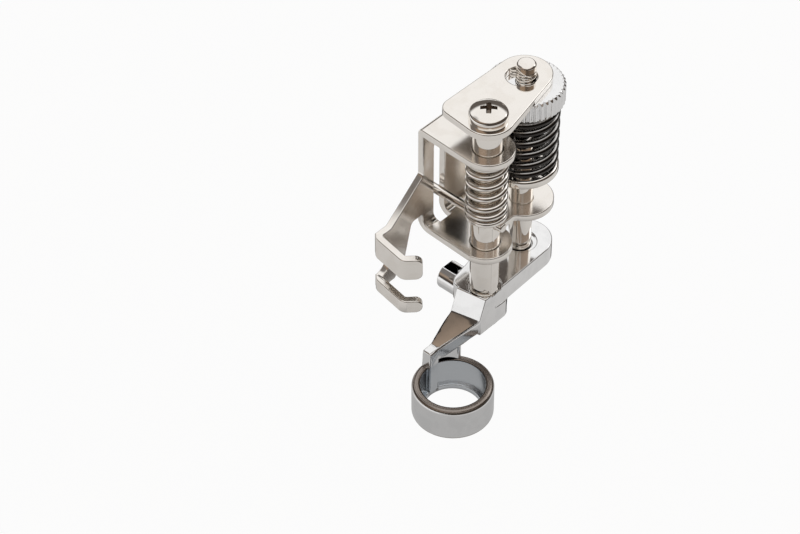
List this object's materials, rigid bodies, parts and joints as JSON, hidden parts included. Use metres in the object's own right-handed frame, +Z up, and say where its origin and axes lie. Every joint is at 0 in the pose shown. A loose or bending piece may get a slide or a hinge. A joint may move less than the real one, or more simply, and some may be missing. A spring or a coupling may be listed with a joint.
{
  "type": "sewing machine presser foot",
  "caption": "Ruler foot for free-motion quilting: a ring on a sprung post, a bent frame that grips the presser bar, and a knurled wheel that sets the height.",
  "frame": {"origin": "on the needle's axis, at the underside of the ring", "axes": "+X to the operator's right, +Y to the back of the machine, +Z up"},
  "size_m": [0.0329, 0.0198, 0.0536],
  "materials": {
    "nickel": "bright nickel plate",
    "chrome": "bright chrome plate",
    "spring_steel": "dark oiled spring steel"
  },
  "bodies": {
    "frame": {"shank_frame": "nickel", "rear_rod": "nickel", "spring_seat": "nickel", "wheel_spring": "spring_steel", "foot_spring": "nickel"},
    "foot": {"front_post": "nickel", "guide_pin": "nickel", "spring_washer": "nickel", "link_plate": "nickel", "link_screw": "nickel", "ruler_foot": "chrome"},
    "stop": {"stop_washer": "nickel"},
    "wheel": {"height_wheel": "chrome"}
  },
  "joints": [
    {"name": "foot_slide", "type": "slide", "parent": "frame", "child": "foot", "axis": [0, 0, 1], "range_m": [0, 0.005], "stiffness_N_per_m": 600, "springref_m": -0.003, "deforming": ["foot_spring"]},
    {"name": "stop_slide", "type": "slide", "parent": "frame", "child": "stop", "axis": [0, 0, 1], "range_m": [-0.003, 0], "deforming": ["wheel_spring"]},
    {"name": "wheel_turn", "type": "hinge", "parent": "stop", "child": "wheel", "pos_m": [0.02065, 0.0047, 0.0485], "axis": [0, 0, 1], "range_deg": [-2160, 0]}
  ],
  "couplings": [
    {"joint": "wheel_turn", "follows": "stop_slide", "rad_per_m": 12566}
  ]
}
